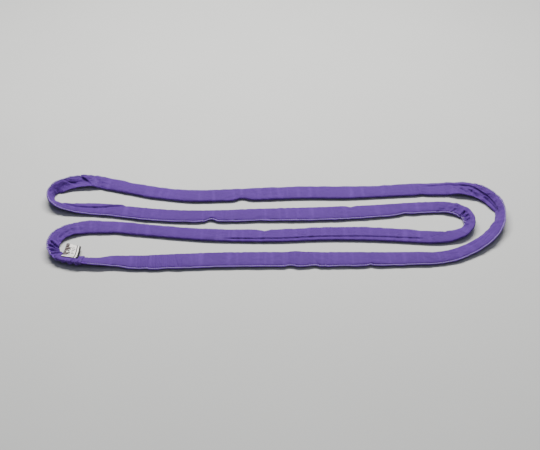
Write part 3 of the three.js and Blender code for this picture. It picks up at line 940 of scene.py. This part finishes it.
def cuff_grids(rings, run):
    """The cuff's outer and inner surfaces: the sleeve's own rings, pushed out and gathered."""
    middle = rings.mean(axis=1)
    from_end = np.minimum(run, run[-1] - run)
    length = np.stack([lengths_round(ring) for ring in rings])
    from_edge = np.minimum(length[:, :-1], length[:, -1:] - length[:, :-1])
    nose = np.exp(-((from_edge / CUFF_NOSE) ** 2))[..., None] * (FLANGE + CUFF_ROOM)
    inner = rings + outward(rings) * CUFF_ROOM + unit(rings[:, :1] - middle[:, None]) * nose
    normals = outward(inner)
    rng = np.random.default_rng(3)
    ridges = np.zeros(rings.shape[:2])
    angle = 2 * math.pi * np.arange(rings.shape[1]) / rings.shape[1]
    centre, lean = RIDGES_INSET, 1
    while centre < run[-1] - RIDGES_INSET:
        lean = -math.copysign(rng.uniform(*RIDGE_LEAN), lean)
        height = rng.uniform(*RIDGE_HEIGHT)
        line = centre + lean * np.cos(2 * angle + rng.uniform(-0.8, 0.8))
        ridges = np.maximum(ridges, height * np.exp(-(((run[:, None] - line) / RIDGE_WIDTH) ** 2)))
        centre += rng.uniform(*CUFF_RIDGES)
    ridges *= 1 - 0.9 * in_label_margin(rings)
    ridges *= 0.35 + 0.65 * smooth(from_end, 0.5 * CUFF_HEM, 1.8 * CUFF_HEM)[:, None]
    hem = CUFF_HEM_RISE * (1 - smooth(from_end, 0.85 * CUFF_HEM, CUFF_HEM))[:, None]
    outer = inner + normals * (CUFF_WALL + hem + ridges)[..., None]
    inner[..., 2] = np.maximum(inner[..., 2], CUFF_INSIDE_LOWEST)
    return on_the_floor(pressed_by_label(outer)), inner


def add_cuff(grid, at, looks):
    rings, run = cuff_rings(grid, at)
    outer, inner = cuff_grids(rings, run)
    cuff = band_shell("join_cuff_cloth", outer, inner, looks["cloth"])
    add_weave_uv(cuff, np.concatenate([outer, inner]))
    attach(cuff, "left_half", "join_cuff")
    normals = outward(outer)
    for side, at_run in (("left", CUFF_SEAM_INSET), ("right", run[-1] - CUFF_SEAM_INSET)):
        ring = np.argmin(np.abs(run - at_run))
        length = lengths_round(outer[ring])
        points, out = (np.concatenate([v[ring], v[ring, :1]]) for v in (outer, normals))
        bars = []
        number = int(length[-1] / CUFF_STITCH_PITCH)
        for k in range(number):
            (start, normal), (end, end_normal) = (
                rows_at(t / number * length[-1], length, points, out) for t in (k, k + 0.62))
            if min(start[2], end[2]) > CUFF_STITCH_LOWEST:
                bars.append(thread_bar(start + normal * 0.0001, end + end_normal * 0.0001, normal,
                                       CUFF_THREAD_RADIUS))
        seam = joined_bars(f"cuff_seam_{side}_stitches", bars, looks["cuff_thread"])
        attach(seam, "left_half", f"cuff_seam_{side}")


# ---- Label ----
LABEL_WIDTH = 0.044
LABEL_DEPTH = 0.043
MARGIN_DEPTH = 0.011
LABEL_BEND = 0.0026  # the label's cloth turns up to this far past its hinge
MARGIN_END = MARGIN_DEPTH - 0.0010
TURN_LENGTH = 0.0045  # of the bend between the sewn margin and the flap
FACE_INSET = 0.0009  # of the printed face inside the dark tape's edges
LABEL_CELLS = 24
TAPE_HEIGHTS = (-0.0004, 0.0004)
FACE_HEIGHTS = (0.0005, 0.0008)
MARGIN_SOLE = -0.0007  # the margin's under side, down on the cuff
UNDER_LABEL = -0.0006  # the cuff's cloth is pressed down to here under the label
LABEL_STITCH_PITCH = 0.0030
LABEL_STITCH_SWING = 0.0026
LABEL_THREAD_RADIUS = 0.00032
LABEL_RISE = 0.0035  # one corner of the flap stands up this much
LABEL_TAPER = 0.12  # share of its width that the flap loses by its free edge
LABEL_LEAN = 0.0065  # the free edge lies this far to the left


def plate_axes(node, along):
    """Middle, along, across and normal of a flat CAD plate, with one direction known."""
    points = np.array([v.co for v in frame["nodes"][node].data.vertices])
    middle = (points.max(0) + points.min(0)) / 2
    _, _, directions = np.linalg.svd(points - points.mean(0), full_matrices=False)
    normal = directions[2] * np.sign(directions[2][2])
    along = unit(along - normal * (along @ normal))
    return middle, along, np.cross(normal, along), normal


class LabelShape:
    """Where each point of the label lies. u runs along the sling and v from the sewn edge outwards."""

    def __init__(self):
        joint = next(j for j in frame["joints"] if j["name"] == "label_flap")
        self.flap_axes = plate_axes("label_backing", np.array(joint["axis"], float))
        self.margin_axes = plate_axes("label_margin", self.flap_axes[1])
        self.length = MARGIN_END + TURN_LENGTH + LABEL_DEPTH - LABEL_BEND

    def margin(self, u, v, height):
        middle, along, across, normal = self.margin_axes
        lift = 0.00025 * math.sin(u * 330) + 0.0002 * math.sin(u * 170 + 2)
        return middle + along * u + across * (v - MARGIN_DEPTH / 2) + normal * (height + lift)

    def flap(self, u, v, height):
        middle, along, across, normal = self.flap_axes
        out = v - MARGIN_END - TURN_LENGTH + LABEL_BEND
        share = out / LABEL_DEPTH
        side = u / LABEL_WIDTH
        past = max(share, 0)
        lift = LABEL_RISE * math.cos(2.6 * side + 0.6) * past**1.4
        u = u * (1 - LABEL_TAPER * past) - LABEL_LEAN * past**1.3
        lift += 0.0007 * math.sin(7 * side + 4 * share) * share - 0.0008 * math.sin(math.pi * share)
        return middle + along * u + across * (out - LABEL_DEPTH / 2) + normal * (height + lift)

    def turn(self, u, v, height):
        start, end = (self.margin(u, MARGIN_END, height), self.flap(u, MARGIN_END + TURN_LENGTH, height))
        leave, arrive = self.margin_axes[2] * TURN_LENGTH, self.flap_axes[2] * TURN_LENGTH
        t = (v - MARGIN_END) / TURN_LENGTH
        square, cube = t * t, t * t * t
        return ((2 * cube - 3 * square + 1) * start + (cube - 2 * square + t) * leave
                + (3 * square - 2 * cube) * end + (cube - square) * arrive)


def label_piece(name, place, across, out, heights, rows, material):
    """A thin closed sheet over across = (u0, u1) and out = (v0, v1), with its print's UV map in metres."""
    us = np.linspace(*across, LABEL_CELLS + 1)
    vs = np.linspace(*out, rows + 1)
    wide, layer = len(us), len(us) * len(vs)
    vertices = [place(u, v, height) for height in heights for v in vs for u in us]
    faces = []
    for j in range(rows):
        for i in range(LABEL_CELLS):
            corner = j * wide + i
            quad = [corner, corner + 1, corner + 1 + wide, corner + wide]
            faces += [[v + layer for v in quad], quad[::-1]]
    rim = list(range(wide)) + [(j + 1) * wide - 1 for j in range(1, rows + 1)]
    rim += [rows * wide + i for i in range(wide - 2, -1, -1)] + [j * wide for j in range(rows - 1, 0, -1)]
    faces += [[a, b, b + layer, a + layer] for a, b in zip(rim, rim[1:] + rim[:1])]
    sheet = new_object(name, vertices, faces, material)
    uv = sheet.data.uv_layers.new(name="print")
    for loop in sheet.data.loops:
        index = loop.vertex_index % layer
        uv.data[loop.index].uv = (us[index % wide] + LABEL_WIDTH / 2, vs[index // wide])
    return sheet


def add_label(looks):
    shape = LabelShape()
    turn_end = MARGIN_END + TURN_LENGTH
    for kind, inset, heights, slot in (
        ("tape", 0, TAPE_HEIGHTS, "label_backing"), ("face", FACE_INSET, FACE_HEIGHTS, "label_face"),
    ):
        across = (inset - LABEL_WIDTH / 2, LABEL_WIDTH / 2 - inset)
        material = looks["label_" + kind]
        sole = (MARGIN_SOLE, heights[1]) if kind == "tape" else heights
        margin, flap, turn = (
            label_piece(f"label_{part}_{kind}", getattr(shape, part), across, out, levels, rows, material)
            for part, out, levels, rows in (
                ("margin", (0.4 * inset, MARGIN_END), sole, 8),
                ("flap", (turn_end, shape.length - inset), heights, 22),
                ("turn", (MARGIN_END, turn_end), heights, 8),
            )
        )
        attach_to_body(margin, "left_half")
        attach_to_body(flap, "label")
        tuple(shape.turn(0, MARGIN_END, 0))
        tuple(shape.turn(0, turn_end, 0))
        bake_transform(turn)
        if kind == "tape":
            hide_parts("label_margin")
            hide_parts("label_backing")
        else:
            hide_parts("label_face")
    add_label_stitches(shape, looks["label_thread"])


def add_label_stitches(shape, thread):
    """One zigzag row that holds the label's margin on the cuff."""
    normal = shape.margin_axes[3]
    number = int((LABEL_WIDTH - 0.003) / LABEL_STITCH_PITCH)
    start = -number * LABEL_STITCH_PITCH / 2
    height = FACE_HEIGHTS[1] + 0.0002
    corners = []
    for k in range(2 * number + 1):
        swing = LABEL_STITCH_SWING if k % 2 else -LABEL_STITCH_SWING
        corners.append(shape.margin(start + k * LABEL_STITCH_PITCH / 2, MARGIN_DEPTH / 2 + swing, height))
    bars = [thread_bar(a, b, normal, LABEL_THREAD_RADIUS) for a, b in zip(corners[:-1], corners[1:])]
    stitches = joined_bars("label_margin_stitches", bars, thread)
    attach(stitches, "left_half", "label_stitching")


# ---- Materials ----
class Look:
    """One node material. Each method adds a node and returns its main output."""

    def __init__(self, name, roughness, **sockets):
        self.material = bpy.data.materials.new(name)
        self.material.use_nodes = True
        self.tree = self.material.node_tree
        self.shader = self.tree.nodes["Principled BSDF"]
        self.shader.inputs["Roughness"].default_value = roughness
        for socket, value in sockets.items():
            self.shader.inputs[socket.replace("_", " ")].default_value = value

    def node(self, kind, inputs=(), **settings):
        made = self.tree.nodes.new(kind)
        for key, value in settings.items():
            setattr(made, key, value)
        for key, value in dict(inputs).items():
            if isinstance(value, bpy.types.NodeSocket):
                self.tree.links.new(value, made.inputs[key])
            else:
                made.inputs[key].default_value = value
        return made

    def place(self, scale, uv=None):
        source = self.node("ShaderNodeUVMap", uv_map=uv).outputs["UV"] if uv else (
            self.node("ShaderNodeTexCoord").outputs["Object"])
        return self.node("ShaderNodeMapping", {"Vector": source, "Scale": scale}).outputs["Vector"]

    def noise(self, scale, detail=3.0, uv=None, roughness=0.5):
        return self.node("ShaderNodeTexNoise", {
            "Vector": self.place(scale, uv), "Scale": 1.0, "Detail": detail, "Roughness": roughness,
        }).outputs["Fac"]

    def waves(self, scale, uv=None, direction="X"):
        return self.node("ShaderNodeTexWave", {"Vector": self.place(scale, uv), "Scale": 1.0},
                         bands_direction=direction).outputs["Fac"]

    def math(self, operation, a, b):
        return self.node("ShaderNodeMath", {0: a, 1: b}, operation=operation).outputs[0]

    def times(self, a, b):
        return self.math("MULTIPLY", a, b)

    def ramp(self, value, low, high):
        inputs = {"Value": value, "From Min": low, "From Max": high}
        return self.node("ShaderNodeMapRange", inputs).outputs[0]

    def mix(self, factor, a, b):
        return self.node("ShaderNodeMix", {0: factor, 6: a, 7: b}, data_type="RGBA").outputs[2]

    def feed(self, socket, value):
        self.tree.links.new(value, self.shader.inputs[socket])

    def paint(self, colour):
        self.feed("Base Color", colour)

    def bump(self, height, strength, distance):
        made = self.node("ShaderNodeBump", {"Height": height, "Strength": strength, "Distance": distance})
        self.feed("Normal", made.outputs["Normal"])


YARN_PITCH = 0.0011  # from one yarn of the weave to the next
SHEEN_TINT = (0.60, 0.48, 0.98, 1)


def shade(colour, factor=1.0):
    return tuple(c * factor for c in colour) + (1,)


def cloth_look(name, violet, uv):
    """Woven polyester: warp and weft yarns, streaks along the sling, cloudy fading, and pale bands across
    it that are painted highlight.
    """
    look = Look(name, 0.8, Sheen_Weight=0.16, Sheen_Roughness=0.4, Sheen_Tint=SHEEN_TINT,
                Specular_IOR_Level=0.22)
    per_metre = 1 / YARN_PITCH / 2
    warp = look.waves((per_metre, 0, 0), uv, "X")
    weft = look.waves((0, per_metre, 0), uv, "Y")
    weave = look.times(warp, weft)
    streaks = look.noise((14, 900, 1), 2.0, uv)
    painted_highlight_bands = look.noise((55, 5, 1), 3.0, uv)
    clouds = look.noise((9, 14, 1), 4.0, uv)
    pale = tuple(c * 1.42 + 0.012 for c in violet) + (1,)
    colour = look.mix(look.ramp(clouds, 0.3, 0.72), shade(violet), shade(violet, 0.80))
    colour = look.mix(look.times(look.ramp(streaks, 0.50, 0.72), 0.55), colour, pale)
    # Painted highlight: pale bands across the sling stand in for light catching the cloth's soft
    # undulations.
    colour = look.mix(look.times(look.ramp(painted_highlight_bands, 0.50, 0.70), 0.60), colour, pale)
    colour = look.mix(look.times(look.ramp(weave, 0.45, 0.0), 0.45), colour, shade(violet, 0.74))
    look.paint(colour)
    look.feed("Roughness", look.ramp(streaks, -1.6, 1.9))
    look.bump(look.math("ADD", look.times(weave, 0.8), look.times(streaks, 0.5)), 0.55, 0.0006)
    return look.material


def thread_look(name, colour, gloss=0.45):
    """Twisted sewing thread."""
    look = Look(name, gloss, Sheen_Weight=0.4, Specular_IOR_Level=0.5)
    twist = look.waves((900, 900, 900), None, "DIAGONAL")
    mottle = look.times(look.math("ADD", twist, look.noise((300, 300, 300))), 0.5)
    look.paint(look.mix(mottle, shade(colour, 0.6), shade(colour)))
    look.bump(twist, 0.5, 0.0003)
    return look.material


def print_look(name):
    """White satin with plain dark blocks and stripes, as on a printed label; no lettering. The black stripe
    at its right edge is partly print and partly painted shadow.
    """
    look = Look(name, 0.62, Specular_IOR_Level=0.25)
    uv = look.node("ShaderNodeUVMap", uv_map="print").outputs["UV"]
    along, out = look.node("ShaderNodeSeparateXYZ", {0: uv}).outputs[:2]

    def band(value, low, high):
        above = look.math("GREATER_THAN", value, low)
        return look.times(above, look.math("LESS_THAN", value, high))

    def blocks(low, high, start, end, pitch, filled, seed):
        """Blocks of ink in a column of the label, one in each row, some of them left out."""
        rows = look.times(look.math("ADD", out, seed), 1 / pitch)
        inside = look.math("LESS_THAN", look.math("FRACT", rows, 0.0), filled)
        row_noise = look.node("ShaderNodeTexWhiteNoise", {"W": look.math("FLOOR", rows, 0.0)},
                              noise_dimensions="1D").outputs["Value"]
        wide = high - low
        reach = look.math("ADD", look.times(row_noise, wide * 0.5), low + wide * 0.55)
        return look.times(look.times(inside, band(along, low, reach)), band(out, start, end))

    weave = look.waves((1400, 1400, 1), "print", "DIAGONAL")
    paper = look.mix(look.times(weave, 0.10), (0.96, 0.93, 0.90, 1), (0.72, 0.70, 0.68, 1))
    layers = [
        (blocks(0.0200, 0.0295, 0.014, 0.044, 0.0062, 0.42, 0.001), (0.06, 0.055, 0.07, 1)),
        (blocks(0.0105, 0.0185, 0.012, 0.042, 0.0066, 0.74, 0.0), (0.014, 0.008, 0.012, 1)),
        (blocks(0.0000, 0.0130, 0.006, 0.055, 0.0060, 0.90, 0.002), (0.022, 0.002, 0.004, 1)),
        (band(along, 0.0318, 0.0346), (0.020, 0.018, 0.024, 1)),
        # Partly print and partly painted shadow: the black stripe along the label's right edge also stands
        # in for the shadow line there.
        (band(along, 0.0385, 0.0445), (0.012, 0.011, 0.014, 1)),
    ]
    colour = paper
    for mask, ink in layers:
        colour = look.mix(mask, colour, ink)
    look.paint(colour)
    look.bump(weave, 0.3, 0.0002)
    return look.material


def tape_look(name, colour, roughness, sheen):
    """Fine ribbed tape."""
    look = Look(name, roughness, Sheen_Weight=sheen, Specular_IOR_Level=0.25)
    ribs = look.waves((700, 260, 700), None, "DIAGONAL")
    marks = look.noise((120, 120, 120), 4.0)
    share = look.math("ADD", look.times(ribs, 0.25), look.times(look.ramp(marks, 0.7, 0.3), 0.6))
    look.paint(look.mix(share, shade(colour), shade(colour, 0.72)))
    look.feed("Roughness", look.ramp(marks, -1.0, 2.2 - roughness))
    look.bump(ribs, 0.35, 0.0002)
    return look.material


def yarn_look(name, colour):
    """Loose bundle of parallel yarns."""
    look = Look(name, 0.75, Sheen_Weight=0.5)
    strands = look.noise((12, 1500, 1), 3.0, "weave")
    fuzz = look.noise((220, 220, 220), 5.0)
    share = look.ramp(look.math("ADD", strands, look.times(fuzz, 0.3)), 0.3, 0.9)
    look.paint(look.mix(share, shade(colour, 0.5), shade(colour)))
    look.bump(strands, 0.8, 0.0008)
    return look.material


# ---- Floor and light ----
def add_stage():
    floor = new_object("floor", [(-9, -9, 0), (9, -9, 0), (9, 9, 0), (-9, 9, 0)], [[0, 1, 2, 3]])
    look = Look("floor_paper", 0.85, Specular_IOR_Level=0.2)
    tone = look.noise((3, 3, 3), 2.0)
    look.paint(look.mix(tone, (0.56, 0.57, 0.565, 1), (0.59, 0.60, 0.595, 1)))
    floor.data.materials.append(look.material)


def add_lamp(name, place, target, size, power):
    data = bpy.data.lights.new(name, "AREA")
    data.shape = "RECTANGLE"
    data.size, data.size_y = size
    data.energy = power
    data.color = (1.0, 0.975, 0.94)
    lamp = bpy.data.objects.new(name, data)
    lamp.location = place
    lamp.rotation_mode = "QUATERNION"
    lamp.rotation_quaternion = (Vector(target) - Vector(place)).to_track_quat("-Z", "Y")
    bpy.context.scene.collection.objects.link(lamp)


def add_light():
    world = bpy.data.worlds.new("studio")
    world.use_nodes = True
    background = world.node_tree.nodes["Background"]
    background.inputs["Color"].default_value = (0.74, 0.84, 1.0, 1)
    background.inputs["Strength"].default_value = 0.15
    bpy.context.scene.world = world
    add_lamp("key", (-0.10, 1.30, 2.40), (0, 0, 0), (2.6, 0.5), 168)
    add_lamp("fill", (0.5, -0.6, 2.4), (0, 0, 0), (1.6, 1.2), 6)


# ---- Everything together ----
VIOLET = (0.092, 0.025, 0.262)
# The edge seam is the sleeve's own cloth, painted lighter as a highlight along the sleeve's edge.
SEAM_VIOLET_PAINTED_HIGHLIGHT = tuple(c * 1.3 for c in VIOLET)


def build():
    add_camera()
    at = stations(places_every(ring_spacing))
    grid = make_sleeve_grid(at)
    looks = {
        "cloth": cloth_look("sleeve_cloth", VIOLET, "weave"),
        # the edge seam's cloth, lighter by a painted highlight
        "seam": cloth_look("seam_cloth_painted_highlight", SEAM_VIOLET_PAINTED_HIGHLIGHT, "weave"),
        "thread": thread_look("edge_thread", (0.64, 0.57, 0.88)),
        "label_thread": thread_look("label_thread", (0.30, 0.27, 0.42)),
        "cuff_thread": thread_look("cuff_thread", (0.17, 0.10, 0.40)),
        "label_tape": tape_look("label_tape", (0.012, 0.011, 0.015), 0.75, 0.01),
        "label_face": print_look("label_print"),
        "yarn": yarn_look("core_yarn", (0.81, 0.76, 0.65)),
        "tie": tape_look("tie_tape", (0.69, 0.65, 0.53), 0.8, 0.2),
    }
    sleeve = tube("sleeve", grid, looks["cloth"])
    bend_at_fold(sleeve)
    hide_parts("sleeve_front_left", "sleeve_outer_bight", "sleeve_upper_left_bight",
                "sleeve_inner_bight", "sleeve_lower_left_bight")

    strip, wave = flange_grid(grid, at)
    seam = tube("sleeve_edge_seam", on_the_floor(strip), looks["seam"])
    bend_at_fold(seam)
    stitches = joined_bars("edge_seam_stitches", edge_stitches(grid, at, wave), looks["thread"])
    bend_at_fold(stitches)

    add_core(grid, at, looks)
    add_cuff(grid, at, looks)
    add_label(looks)
    add_stage()
    add_light()


build()
